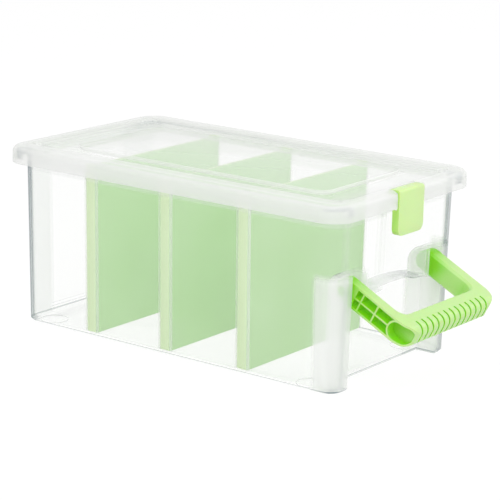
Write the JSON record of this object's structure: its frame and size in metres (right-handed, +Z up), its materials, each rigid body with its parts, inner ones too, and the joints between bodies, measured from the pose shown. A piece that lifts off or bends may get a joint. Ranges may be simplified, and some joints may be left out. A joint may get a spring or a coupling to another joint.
{
  "type": "sewing and craft storage box",
  "caption": "Long clear storage box with a hinged frosted lid, a front latch, a folding pull handle in an end recess and loose upright dividers.",
  "frame": {"origin": "centre of the box body's underside, midway between the long walls and midway along the lid", "axes": "+Z up; -Y is the end with the latch and the pull handle and +Y the end with the lid's hinge; +X to the right seen from the handle end"},
  "size_m": [0.2, 0.3949, 0.156],
  "materials": {
    "clear_plastic": "gloss",
    "frosted_plastic": "frosted",
    "green_plastic": "satin",
    "tinted_plastic": "satin"
  },
  "bodies": {
    "body": {"box_body": "clear_plastic"},
    "lid": {"lid": "frosted_plastic"},
    "latch": {"latch": "green_plastic"},
    "handle": {"pull_handle": "green_plastic"},
    "divider_front": {"divider_1": "tinted_plastic"},
    "divider_middle": {"divider_2": "tinted_plastic"},
    "divider_back": {"divider_3": "tinted_plastic"}
  },
  "joints": [
    {"name": "lid_hinge", "type": "hinge", "parent": "body", "child": "lid", "pos_m": [0, 0.1706, 0.1414], "axis": [-1, 0, 0], "range_deg": [0, 100]},
    {"name": "latch_hinge", "type": "hinge", "parent": "lid", "child": "latch", "pos_m": [0, -0.1675, 0.1539], "axis": [-1, 0, 0], "range_deg": [0, 100]},
    {"name": "handle_pivot", "type": "hinge", "parent": "body", "child": "handle", "pos_m": [0, -0.158, 0.0815], "axis": [-1, 0, 0], "range_deg": [-63, 57]},
    {"name": "divider_front_lift", "type": "slide", "parent": "body", "child": "divider_front", "axis": [0, 0, 1], "range_m": [0, 0.0018]},
    {"name": "divider_middle_lift", "type": "slide", "parent": "body", "child": "divider_middle", "axis": [0, 0, 1], "range_m": [0, 0.0018]},
    {"name": "divider_back_lift", "type": "slide", "parent": "body", "child": "divider_back", "axis": [0, 0, 1], "range_m": [0, 0.0018]}
  ]
}
